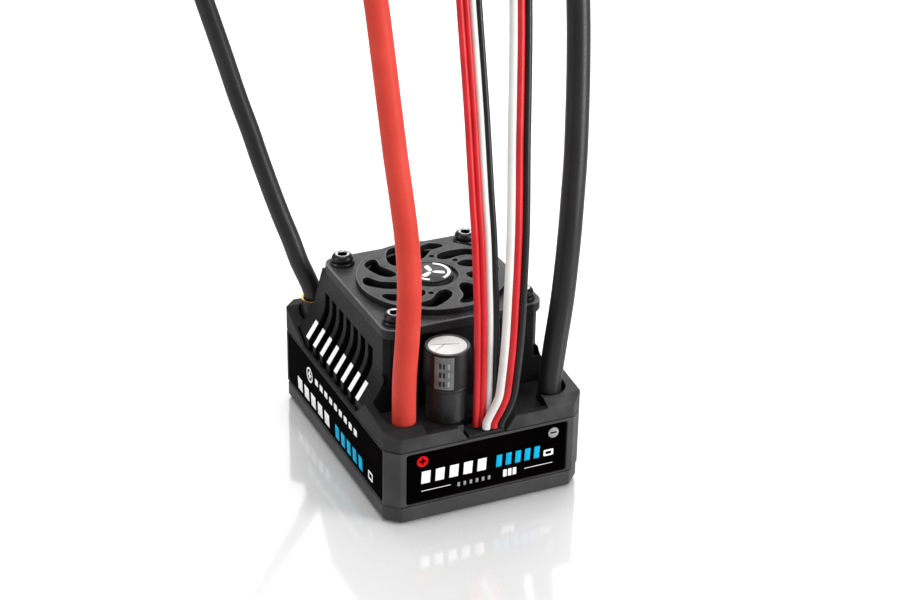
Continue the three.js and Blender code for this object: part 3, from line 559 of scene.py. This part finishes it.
def bullet(name, node_name, route, radius):
    """A plated contact with a closed barrel and a sprung cage of four slots."""
    cage_low, cage_high = 9.4, 13.8
    slot_angle, slot_depth = 0.16, 0.16
    pitch = math.pi / 2

    def caged(r, z, angle):
        off_slot = abs((angle + pitch / 2) % pitch - pitch / 2)
        slot = max(0.0, 1 - off_slot / slot_angle)
        return r * (1 - slot_depth * min(1.0, slot * 2)) if cage_low < z < cage_high else r

    shape = [(0, 0.3), (0.9, 0.3), (0.98, 0.45), (0.98, 6.9), (0.8, 7.3), (0.8, 8.2), (0.92, 8.8),
             (0.93, 9.3), (0.95, 9.6), (1, 10.6), (1, 12.4), (0.95, 13.6), (0.93, 13.9), (0.9, 14.3),
             (0.72, 14.9), (0.4, 15.15), (0, 15.2)]  # part of the radius, and height
    bm = bmesh.new()
    turned(bm, [(radius * part, z) for part, z in shape], 0, 0, radius_at=caged)
    bm.transform(in_line(route))
    return piece(name, bm, [GOLD], nodes=[node_name], sharp=40)


def shrink(name, node_name, route, radius, material):
    """Shrunk tubing over the joint between lead and contact, drawn in where it grips."""
    thick = 0.32
    rise = [(-5.0, -0.06), (-4.4, -0.02), (-3.0, 0.0), (-0.6, -0.02), (0.3, -0.07), (1.4, -0.02), (4.0, 0.0),
            (6.2, 0.0), (7.0, -0.03), (7.6, -0.1)]
    outside = [(radius + thick + grow, z) for z, grow in rise]
    inside = [(radius, z) for z, _ in reversed(rise)]
    bm = bmesh.new()
    tube(bm, outside + inside, 0, 0, 40)
    bm.transform(in_line(route))
    return piece(name, bm, [material], nodes=[node_name], sharp=50)


red_bullet = bullet("red_lead_contact", "positive_bullet", POSITIVE_ROUTE, BATTERY_PIN_R)
black_bullet = bullet("black_lead_contact", "negative_bullet", NEGATIVE_ROUTE, BATTERY_PIN_R)
phase_bullet = bullet("phase_lead_contact", "motor_bullet", MOTOR_ROUTE, MOTOR_PIN_R)
red_shrink = shrink("red_lead_sleeve", "positive_shrink", POSITIVE_ROUTE, BATTERY_SHRINK_R, RED_SILICONE)
black_shrink = shrink("black_lead_sleeve", "negative_shrink", NEGATIVE_ROUTE, BATTERY_SHRINK_R,
                      BLACK_SILICONE)
phase_shrink = shrink("phase_lead_sleeve", "motor_shrink", MOTOR_ROUTE, MOTOR_SHRINK_R, BLACK_SILICONE)
plug = refined("receiver_plug", "receiver_connector", [EPOXY], 0.15)
housing = refined("switch_housing", "switch_case", [EPOXY], 0.25)
slider = refined("switch_slider", "switch_knob", [EPOXY], 0.12, "slider")
button = refined("set_button", "set_key", [RED_PLASTIC], 0.15, "button")


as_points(red_path)
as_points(black_path)
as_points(phase_path)
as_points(switch_path)
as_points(receiver_path)


# ---------------------------------------------------------------- case
def cover_paint(face):
    """Painted light: the end walls and the right block's top take a lighter copy of the cover's moulding, a
    shade lighter than the deck and the long sides, which keep the darker one.
    """
    block_left, block_back, deck_top = 10, -14, 15.8
    centre = middle(face)
    end_wall = abs(centre.y) > 0.9 * CASE_HALF_L and face.normal.z < 0.8 and abs(face.normal.x) < 0.9
    on_block = centre.x > block_left and centre.y < block_back and centre.z > deck_top
    return 1 if end_wall or (on_block and face.normal.z > 0.8) else 0


refined("bottom_plate", "base_plate", [CASE], 0.18)
refined("case_body", "case_walls", [CASE], 0.14)
refined("top_cover", "case_cover", [COVER, COVER_PAINTED_LIGHT], 0.16, paint=cover_paint)
refined("ribbon_grommet", "wire_grommet", [RUBBER], 0.12)


def button_screw(name, node_name):
    """A button head with a hexagon socket, over a plain shank."""
    x, y = spot(node_name)
    tip, top = heights(node_name)
    head_high = 1.1
    seat = top - head_high

    def socket(r, z, angle):
        if r > 1.0 or z < seat + 0.1:
            return r
        return r * math.cos(math.pi / 6) / math.cos((angle % (math.pi / 3)) - math.pi / 6)

    shank = [(0, tip, 0), (0.6, tip, 0), (0.9, tip + 0.4, 0), (0.9, seat, 0)]
    head = [(1.86, seat, 0), (1.95, seat + 0.1, 0), (1.95, seat + 0.28, 0), (1.86, seat + 0.58, 0),
            (1.66, seat + 0.86, 0), (1.45, seat + 1.04, 0), (1.24, top, 1), (1.08, top, 1),
            (0.96, seat + 1.0, 0), (0.94, seat + 0.35, 0), (0, seat + 0.2, 0)]
    bm = bmesh.new()
    lathe(bm, shank + head, x, y, 48, socket)
    return piece(name, bm, [STEEL_BLACK, STEEL], nodes=[node_name], sharp=32)


def cup_washer(name, node_name):
    """A dished washer under a fan screw."""
    x, y = spot(node_name)
    low, top = heights(node_name)
    bm = bmesh.new()
    tube(bm, [(1.2, low), (2.14, low), (2.2, low + 0.06), (2.2, low + 0.16), (2.05, top - 0.08), (1.98, top),
              (1.2, top)], x, y)
    return piece(name, bm, [STEEL_BLACK], nodes=[node_name], sharp=32)


for number in range(1, 5):
    cup_washer(f"cup_washer_{number}", f"fan_washer_{number}")
    button_screw(f"button_screw_{number}", f"fan_screw_{number}")


# ---------------------------------------------------------------- labels and their generic print
INK_THICK = 0.04
LABEL_THICK = 0.25
LABEL_SUNK = 0.1  # from the case's wall in to the film's outside


def on_front(u, v, w):
    return u, -CASE_HALF_L + LABEL_SUNK - w, v


def on_left(u, v, w):
    return -CASE_HALF_W + LABEL_SUNK - w, -u, v


def on_right(u, v, w):
    return CASE_HALF_W - LABEL_SUNK + w, u, v


def label(name, node_name, place, half, radius):
    """A film set in its recess, as tall as its CAD node."""
    low, high = heights(node_name)
    outline = rounded(half, (high - low) / 2, radius, 0, (high + low) / 2)
    bm = bmesh.new()
    slab(bm, outline, [], -LABEL_THICK, 0.0, 0.06, place)
    return piece(name, bm, [FILM], nodes=[node_name], weighted=True)


def prints(name, place, groups):
    """Raised ink: groups of (material, [(outline, holes), ...])."""
    bm = bmesh.new()
    materials = []
    for index, (material, shapes) in enumerate(groups):
        materials.append(material)
        for outline, holes in shapes:
            slab(bm, outline, holes, 0.0, INK_THICK, 0.01, place, index, index)
    return piece(name, bm, materials)


def slanted(u, v, wide, tall, lean):
    """A leaning bar, its lower left corner at u, v."""
    shift = tall * lean
    return [(u, v), (u + wide, v), (u + wide + shift, v + tall), (u + shift, v + tall)]


def rectangle(u0, u1, v0, v1):
    return [(u0, v0), (u1, v0), (u1, v1), (u0, v1)]


def plus(u, v, reach, half):
    """A cross whose arms are reach long and twice half wide."""
    return [(u - half, v - reach), (u + half, v - reach), (u + half, v - half), (u + reach, v - half),
            (u + reach, v + half), (u + half, v + half), (u + half, v + reach), (u - half, v + reach),
            (u - half, v + half), (u - reach, v + half), (u - reach, v - half), (u - half, v - half)]


def ring_of(radius, thick, u, v):
    return circle(radius, u, v, 40), [circle(radius - thick, u, v, 40)]


def window(u, v, outer, inner):
    """A rounded block with a rounded hole; each is (half width, half height, corner radius)."""
    return rounded(*outer, u, v, 4), [rounded(*inner, u, v, 4)]


def bars(u, v, count, wide, pitch, tall, lean):
    return [(slanted(u + index * pitch, v, wide, tall, lean), []) for index in range(count)]


def blocks(u, v, count, size, pitch):
    """A row of rounded blocks, the first one at u, v; size is (half width, half height, corner radius)."""
    return [(rounded(*size, u + pitch * index, v, 3), []) for index in range(count)]


label("front_label_film", "front_label", on_front, 15.0, 0.5)
label("left_label_film", "left_label", on_left, 22.8, 0.7)
label("right_label_film", "right_label", on_right, 22.8, 0.7)

prints("front_label_print", on_front, [
    (INK_WHITE, [*bars(-12.45, 6.4, 5, 1.65, 2.62, 2.4, 0.05), (rectangle(-12.4, -6.9, 4.87, 4.98), []),
                 (rectangle(7.1, 12.5, 4.76, 4.87), []), *blocks(3.35, 4.8, 3, (0.34, 0.72, 0.12), 0.92),
                 window(11.65, 7.0, (0.95, 0.62, 0.22), (0.55, 0.3, 0.12))]),
    (INK_BLUE, bars(1.6, 6.4, 5, 1.05, 1.8, 2.35, 0.05)),
    (INK_RED, [(circle(1.05, -12.2, 10.85, 40), [plus(-12.2, 10.85, 0.66, 0.17)])]),
    (INK_GREY, [(circle(1.0, 12.5, 10.83, 40), [rectangle(11.9, 13.1, 10.67, 10.99)]),
                *blocks(-5.4, 4.65, 6, (0.24, 0.4, 0.1), 1.15)]),
])
SIDE_PRINT = [
    (INK_WHITE, [ring_of(1.5, 0.36, -11.8, 9.4), (plus(-11.8, 9.4, 0.8, 0.24), []),
                 *blocks(-8.3, 9.6, 9, (0.72, 0.62, 0.2), 2.35), *bars(-17.8, 3.6, 5, 2.25, 3.4, 2.45, -0.1),
                 window(17.4, 4.7, (1.0, 0.85, 0.25), (0.62, 0.46, 0.15))]),
    (INK_BLUE, bars(1.1, 3.5, 5, 1.75, 2.75, 2.55, -0.1)),
]
prints("left_label_print", on_left, SIDE_PRINT)
prints("right_label_print", on_right, SIDE_PRINT)


# ---------------------------------------------------------------- heatsink, fan and guard
FIRST_RIB = 14.95
LAST_RIB = -10.25
FOOT_LOW, FOOT_HIGH = 15.0, 19.0
SLOT_IN, SLOT_OUT, SLOT_TOP = 16.9, 17.75, 16.0


def sink_paint(face):
    """The ribs' sloping feet are cut bare; their white is partly bare metal and partly a painted highlight.
    The slots between the feet take painted shade.
    """
    centre = middle(face)
    if not LAST_RIB < centre.y < FIRST_RIB:
        return 0
    if abs(face.normal.x) > 0.7 and face.normal.z > 0.35 and FOOT_LOW < centre.z < FOOT_HIGH:
        return 1
    return 2 if SLOT_IN < abs(centre.x) < SLOT_OUT and centre.z < SLOT_TOP else 0


refined("heatsink", "finned_heatsink", [SINK, CUT_GLARE_AND_BADGE_WHITE, SLOT_PAINTED_SHADE], 0.14, paint=sink_paint,
        cuts=(LAST_RIB, FIRST_RIB))
refined("fan_housing", "fan_frame", [FAN], 0.1)

PLATE_LOW, DISC_TOP = heights("fan_guard")
PLATE_TOP = PLATE_LOW + 1.9
DISC_LOW = DISC_TOP - 1.4
HUB_R = 4.85
OPENINGS = 10
OPENING = [(6.3, 3), (6.3, 14), (8.0, 16), (10.0, 5.5), (12.2, -8), (12.2, -19), (11.2, -22), (9.5, -12),
           (7.4, -5)]  # radius and degrees about the fan's axis


def about_fan(radius, degrees):
    """A place at a radius and an angle about the fan's axis."""
    angle = math.radians(degrees)
    return radius * math.cos(angle), FAN_Y + radius * math.sin(angle)


def guard_opening(index):
    first, pitch = 6, 360 / OPENINGS
    return smooth_loop([about_fan(radius, first + pitch * index + turn) for radius, turn in OPENING])


def guard():
    """A square plate that carries a raised disc with swept openings round a hub with a sunk ring."""
    bm = bmesh.new()
    square = rounded(14.9, 14.9, 2.4, 0, FAN_Y)
    holes = [circle(11.9, 0, FAN_Y)] + [circle(1.2, x, y, 24) for x, y in FAN_SCREWS]
    # The walls take painted shade and the easing along their tops a painted highlight.
    slab(bm, square, holes, PLATE_LOW, PLATE_TOP, 0.22, top=0, side=1, edge=2)
    drilled = [circle(0.56, *about_fan(7.1, turn), 16) for turn in (30, 66, 210, 246)]
    openings = [guard_opening(index) for index in range(OPENINGS)]
    slab(bm, circle(13.25, 0, FAN_Y, 96), [circle(HUB_R, 0, FAN_Y), *openings, *drilled], DISC_LOW, DISC_TOP,
         0.14, top=0, side=1, edge=2)
    lip, sunk = DISC_TOP - 0.1, DISC_TOP - 0.5
    # The hub's wall and sunk ring take painted shade; its middle keeps the lacquer.
    lathe(bm, [(0, DISC_LOW + 0.05, 1), (HUB_R, DISC_LOW + 0.05, 1), (HUB_R, lip, 1), (4.8, lip + 0.06, 1),
               (4.7, lip + 0.06, 1), (4.6, lip - 0.04, 1), (4.52, sunk, 1), (3.98, sunk, 1), (3.92, lip, 1),
               (3.84, lip + 0.09, 0), (0, lip + 0.09, 0)], 0, FAN_Y, 64)
    return piece("swirl_guard", bm, [GUARD, GUARD_PAINTED_SHADE, GUARD_PAINTED_HIGHLIGHT], nodes=["fan_guard"],
                 weighted=True)


guard()

BADGE_LOW, BADGE_HIGH = heights("hub_badge")
BADGE_TOP = BADGE_HIGH - 0.1
MARK_TOP = BADGE_HIGH - 0.02


def badge():
    """A round badge with a bright broken ring and a plain three-blade mark."""
    bm = bmesh.new()
    turned(bm, [(0, BADGE_LOW), (3.62, BADGE_LOW), (3.7, BADGE_LOW + 0.06), (3.7, BADGE_TOP - 0.08),
                (3.58, BADGE_TOP), (0, BADGE_TOP)], 0, FAN_Y, 64)
    for start, end in ((-70, 62), (110, 242)):
        turns = [start + (end - start) * k / 20 for k in range(21)]
        outline = [about_fan(3.4, turn) for turn in turns]
        outline += [about_fan(2.85, turn) for turn in reversed(turns)]
        slab(bm, outline, [], BADGE_TOP, MARK_TOP, 0.02, top=1, side=1)
    for number in range(3):
        turn = math.radians(90 + 120 * number)
        corners = [(0.35, -0.3), (2.2, -0.45), (2.35, 0.1), (1.9, 0.5), (0.45, 0.3)]
        outline = [(u * math.cos(turn) - v * math.sin(turn), FAN_Y + u * math.sin(turn) + v * math.cos(turn))
                   for u, v in smooth_loop(corners, 4)]
        slab(bm, outline, [], BADGE_TOP, MARK_TOP, 0.02, top=1, side=1)
    return piece("hub_disc", bm, [GUARD, CUT_GLARE_AND_BADGE_WHITE], nodes=["hub_badge"])


badge()

BLADES = 7
BLADE_ROOT, BLADE_REACH = 5.0, 6.35
BLADE_MIDDLE = 26.2
BLADE_LOW, BLADE_TOP = 24.5, 28.15
CHORD_STEPS, SPAN_STEPS = 9, 8


def blade_side(bm, turn, face):
    """A grid of points over one side of a blade; face is 1 for the upper side and -1 for the lower."""
    grid = []
    for i in range(SPAN_STEPS + 1):
        t = i / SPAN_STEPS
        radius = BLADE_ROOT + BLADE_REACH * t
        pitch = math.radians(48 - 16 * t)
        row = []
        for j in range(CHORD_STEPS + 1):
            s = j / CHORD_STEPS
            chord = (s - 0.5) * (4.0 + 1.6 * t)
            camber = 0.5 * (1 - (2 * s - 1) ** 2)
            thick = 0.28 * math.sqrt(max(0.0, 1 - (2 * s - 1) ** 4)) + 0.02
            rise = camber + face * thick
            u = chord * math.cos(pitch) - rise * math.sin(pitch)
            z = BLADE_MIDDLE - chord * math.sin(pitch) + rise * math.cos(pitch)
            x, y = about_fan(radius, math.degrees(turn + u / radius + 0.12 * t))
            row.append(bm.verts.new(point(x, y, min(max(z, BLADE_LOW), BLADE_TOP))))
        grid.append(row)
    return grid


def blade(bm, turn):
    """A twisted blade with a hollow face: its two sides, its edges and its ends."""
    upper, lower = blade_side(bm, turn, 1), blade_side(bm, turn, -1)
    for i in range(SPAN_STEPS):
        for j in range(CHORD_STEPS):
            bm.faces.new((upper[i][j], upper[i][j + 1], upper[i + 1][j + 1], upper[i + 1][j]))
            bm.faces.new((lower[i][j], lower[i + 1][j], lower[i + 1][j + 1], lower[i][j + 1]))
        for j in (0, CHORD_STEPS):
            bm.faces.new((upper[i][j], upper[i + 1][j], lower[i + 1][j], lower[i][j]))
    for j in range(CHORD_STEPS):
        for i in (0, SPAN_STEPS):
            bm.faces.new((upper[i][j], lower[i][j], lower[i][j + 1], upper[i][j + 1]))


def rotor():
    """Hub cup and blades."""
    bm = bmesh.new()
    turned(bm, [(0, 27.5), (4.5, 27.5), (4.5, 24.6), (5.1, 24.6), (5.2, 24.7), (5.2, 27.6), (5.05, 27.95),
                (4.75, 28.14), (4.3, 28.2), (0, 28.2)], 0, FAN_Y, 64)
    for number in range(BLADES):
        blade(bm, number * 2 * math.pi / BLADES)
    return piece("fan_impeller", bm, [FAN], "rotor", ["fan_rotor"], sharp=45)


rotor()


# ---------------------------------------------------------------- capacitor
WRAP_R = 4.05


def capacitor_pedestal():
    low, top = heights("capacitor_stand")
    bm = bmesh.new()
    turned(bm, [(0, low), (3.45, low), (3.55, low + 0.1), (3.55, top - 0.9), (3.62, top - 0.65),
                (3.8, top - 0.4), (3.8, top - 0.1), (3.7, top), (0, top)], CAP_X, CAP_Y, 64)
    piece("capacitor_pedestal", bm, [STAND], nodes=["capacitor_stand"])


def capacitor_shell():
    """The can, with three vent lines in its crown."""
    low, top = heights("capacitor_can")
    bm = bmesh.new()
    turned(bm, [(0, low), (3.6, low), (3.7, low + 0.1), (3.7, top - 0.35), (3.62, top - 0.13), (3.44, top),
                (3.2, top - 0.03), (3.05, top - 0.09), (0, top - 0.15)], CAP_X, CAP_Y, 64)
    for turn, reach in ((214, 3.1), (342, 2.5), (165, 2.4)):
        angle = math.radians(turn)
        flat = rectangle(0.0, reach, -0.05, 0.05)
        outline = [(CAP_X - 0.2 + u * math.cos(angle) - v * math.sin(angle),
                    CAP_Y + 0.7 + u * math.sin(angle) + v * math.cos(angle)) for u, v in flat]
        slab(bm, outline, [], top - 0.2, top - 0.06, 0.03, top=1, side=1)
    piece("capacitor_shell", bm, [ALUMINIUM, STEEL], nodes=["capacitor_can"])


def capacitor_wrap():
    """The printed sleeve, with a pale stripe and its top rolled over the can's edge; the rolled top is
    painted lighter as a painted highlight.
    """
    low, top = heights("capacitor_sleeve")
    stripe_from, stripe_to = math.radians(215), math.radians(262)
    outside = [(3.86, low), (3.98, low + 0.04), (WRAP_R, low + 0.2), (WRAP_R, top - 0.8), (4.03, top - 0.45),
               (3.96, top - 0.2), (3.84, top - 0.06), (3.7, top), (3.5, top), (3.36, top - 0.04),
               (3.3, top - 0.1)]
    inside = [(3.42, top - 0.1), (3.6, top - 0.14), (3.76, top - 0.24), (3.83, top - 0.5), (3.83, low)]
    bm = bmesh.new()
    tube(bm, outside + inside, CAP_X, CAP_Y, 96)
    # The stripe is print; the rolled top takes a painted highlight.
    for face in bm.faces:
        centre = middle(face)
        angle = math.atan2(centre.y - CAP_Y, centre.x - CAP_X) % (2 * math.pi)
        if stripe_from < angle < stripe_to and low + 0.2 < centre.z < top - 0.5:
            face.material_index = 1
        elif centre.z > top - 0.06:
            face.material_index = 2
    piece("capacitor_wrap", bm, [SLEEVE, SLEEVE_STRIPE, SLEEVE_CURL_PAINTED_HIGHLIGHT], nodes=["capacitor_sleeve"])


def capacitor_marks():
    """Three rows of plain marks on the stripe: two dark and one light."""
    def round_wall(u, v, w):
        angle = math.radians(270) + u / WRAP_R
        return CAP_X + (WRAP_R + w) * math.cos(angle), CAP_Y + (WRAP_R + w) * math.sin(angle), v

    bm = bmesh.new()
    for u, half, light in ((-2.9, 0.2, 0), (-2.25, 0.16, 0), (-1.45, 0.16, 1)):
        for step in range(3):
            mark = rounded(half, 0.5, 0.08, u, 23.4 + step * 1.7, 3)
            slab(bm, mark, [], -0.02, 0.02, 0.005, round_wall, light, light)
    piece("capacitor_marks", bm, [SLEEVE, INK_GREY])


capacitor_pedestal()
capacitor_shell()
capacitor_wrap()
capacitor_marks()


# ---------------------------------------------------------------- solder tabs
CUP_R = 2.45
CUP_BORE = 2.0
ROOT_TOP = 12.0
SPLIT_HALF = 1.3


def tab(name, node_name):
    """A plated cup, its outside above the root painted dark so that only its rim shows gold, split towards
    the motor, on a solid root.
    """
    x, y = spot(node_name)
    low, top = heights(node_name)
    bm = bmesh.new()
    turned(bm, [(0, low), (CUP_R - 0.1, low), (CUP_R, low + 0.1), (CUP_R, ROOT_TOP), (CUP_BORE, ROOT_TOP),
                (0, ROOT_TOP)], x, y, 64)
    wall = []
    for radius, steps in ((CUP_R, range(49)), (CUP_BORE, reversed(range(49)))):
        gap = math.asin(SPLIT_HALF / radius)
        for k in steps:
            angle = math.radians(90) + gap + (2 * math.pi - 2 * gap) * k / 48
            wall.append((x + radius * math.cos(angle), y + radius * math.sin(angle)))
    slab(bm, wall, [], ROOT_TOP - 0.1, top, 0.08)
    # The cup's outside above the root is painted dark, so only its rim shows gold.
    for face in bm.faces:
        centre = middle(face)
        outer = math.hypot(centre.x - x, centre.y - y) > CUP_R - 0.07
        if outer and ROOT_TOP < centre.z < top - 0.1:
            face.material_index = 1
    return piece(name, bm, [GOLD, FAN], nodes=[node_name], sharp=30)


for side in ("left", "middle", "right"):
    tab(f"{side}_solder_cup", f"phase_tab_{side}")


# ---------------------------------------------------------------- carried-over CAD nodes
KEPT = {
    "fan_bearing": GOLD, "fan_stator": COPPER, "fan_shaft": STEEL,
    "control_board": BOARD, "power_board": BOARD, "board_header": EPOXY, "thermal_pad": PAD,
    "battery_post_positive": COPPER, "battery_post_negative": COPPER,
    **{f"power_transistor_{number}": EPOXY for number in range(1, 5)},
    **{f"case_screw_{number}": STEEL_BLACK for number in range(1, 5)},
}
for kept, finish in KEPT.items():
    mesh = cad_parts[kept].data
    mesh.materials.clear()
    mesh.materials.append(finish)


# ---------------------------------------------------------------- floor and light
FLOOR_Z = -0.0001
FLOOR_REACH = 3.0


def floor():
    bm = bmesh.new()
    outline = rectangle(-FLOOR_REACH, FLOOR_REACH, -FLOOR_REACH, FLOOR_REACH)
    bm.faces.new([bm.verts.new((x, y, FLOOR_Z)) for x, y in outline])
    mesh = bpy.data.meshes.new("floor")
    bm.to_mesh(mesh)
    bm.free()
    made = surface("pale_floor", (210, 210, 210), (215, 215, 215), (0.5, 0.6), 20, 900, 0.02, 0.01,
                   sockets={"Coat Weight": 1.0, "Coat IOR": 1.85, "Coat Roughness": 0.09})
    mesh.materials.append(made)
    obj = bpy.data.objects.new("floor", mesh)
    bpy.context.scene.collection.objects.link(obj)


def softbox(name, place, target, size, power):
    data = bpy.data.lights.new(name, "AREA")
    data.shape = "RECTANGLE"
    data.size, data.size_y = size
    data.energy = power
    obj = bpy.data.objects.new(name, data)
    bpy.context.scene.collection.objects.link(obj)
    obj.location = place
    obj.rotation_mode = "QUATERNION"
    obj.rotation_quaternion = (Vector(target) - Vector(place)).to_track_quat("-Z", "Y")


def studio():
    """A pale room, a light overhead, a key light on the front right, a weak strip on the left and a large
    panel behind."""
    world = bpy.data.worlds.new("studio")
    world.use_nodes = True
    background = world.node_tree.nodes["Background"]
    background.inputs["Color"].default_value = (1.0, 1.0, 1.0, 1.0)
    background.inputs["Strength"].default_value = 0.5
    bpy.context.scene.world = world
    softbox("overhead", (0.05, 0.15, 0.95), (0, 0, 0.02), (0.6, 0.6), 6.0)
    softbox("front_right_key", (0.62, -0.62, 0.42), (0, 0, 0.03), (0.35, 0.5), 8.0)
    softbox("left_strip", (-0.85, 0.10, 0.40), (0, 0, 0.03), (0.25, 0.5), 2.4)
    softbox("back_panel", (0.60, 1.35, 0.75), (0, 0, 0.03), (1.6, 0.8), 9.0)
    bpy.context.scene.view_settings.view_transform = "Standard"


floor()
studio()
